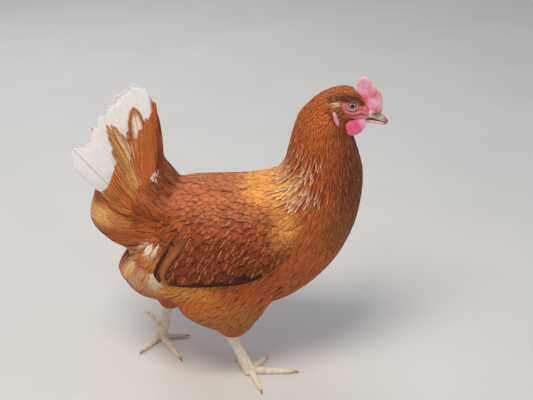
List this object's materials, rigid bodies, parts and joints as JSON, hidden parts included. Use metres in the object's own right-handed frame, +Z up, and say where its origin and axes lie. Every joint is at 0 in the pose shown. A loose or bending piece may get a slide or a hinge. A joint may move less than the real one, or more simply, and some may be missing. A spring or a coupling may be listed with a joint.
{
  "type": "hen",
  "caption": "Still life-size model of a brown laying hen in mid-stride, with white tail feathers, a small single comb and bare yellowish legs.",
  "frame": {"origin": "on the floor, at the centre of the bounding box seen from above", "axes": "+X forward to the head, +Y to the hen's left side, +Z up"},
  "size_m": [0.3439, 0.1685, 0.3515],
  "materials": {
    "body_plumage": "soft ginger feathers with a satin sheen",
    "wing_plumage": "dark mahogany feathers with paler edges",
    "fluff_plumage": "downy buff feathers",
    "tail_plumage": "smooth white feathers",
    "comb_skin": "finely grained pink-red skin, slightly moist",
    "ear_lobe_skin": "soft folded pink skin",
    "leg_skin": "overlapping pale yellow scales",
    "beak": "smooth horn, satin",
    "claw": "smooth pale horn",
    "eye": "wet clear cornea over a pale olive iris"
  },
  "bodies": {
    "root": {"eye_right": "eye", "wattle_right": "comb_skin", "ear_lobe_right": "ear_lobe_skin", "wing_right_flight": "wing_plumage", "wing_right_shoulder": "wing_plumage", "tail_feathers_right": "tail_plumage", "thigh_right": "body_plumage", "shank_right": "leg_skin", "toe_right_1": "leg_skin", "claw_right_1": "claw", "toe_right_2": "leg_skin", "claw_right_2": "claw", "toe_right_3": "leg_skin", "claw_right_3": "claw", "toe_right_4": "leg_skin", "claw_right_4": "claw", "eye_left": "eye", "wattle_left": "comb_skin", "ear_lobe_left": "ear_lobe_skin", "wing_left_flight": "wing_plumage", "wing_left_shoulder": "wing_plumage", "tail_feathers_left": "tail_plumage", "thigh_left": "body_plumage", "shank_left": "leg_skin", "toe_left_1": "leg_skin", "claw_left_1": "claw", "toe_left_2": "leg_skin", "claw_left_2": "claw", "toe_left_3": "leg_skin", "claw_left_3": "claw", "toe_left_4": "leg_skin", "claw_left_4": "claw", "head": "body_plumage", "neck": "body_plumage", "trunk": "body_plumage", "abdomen": "fluff_plumage", "tail_coverts": "body_plumage", "comb": "comb_skin", "beak_upper": "beak", "beak_lower": "beak"}
  },
  "joints": []
}
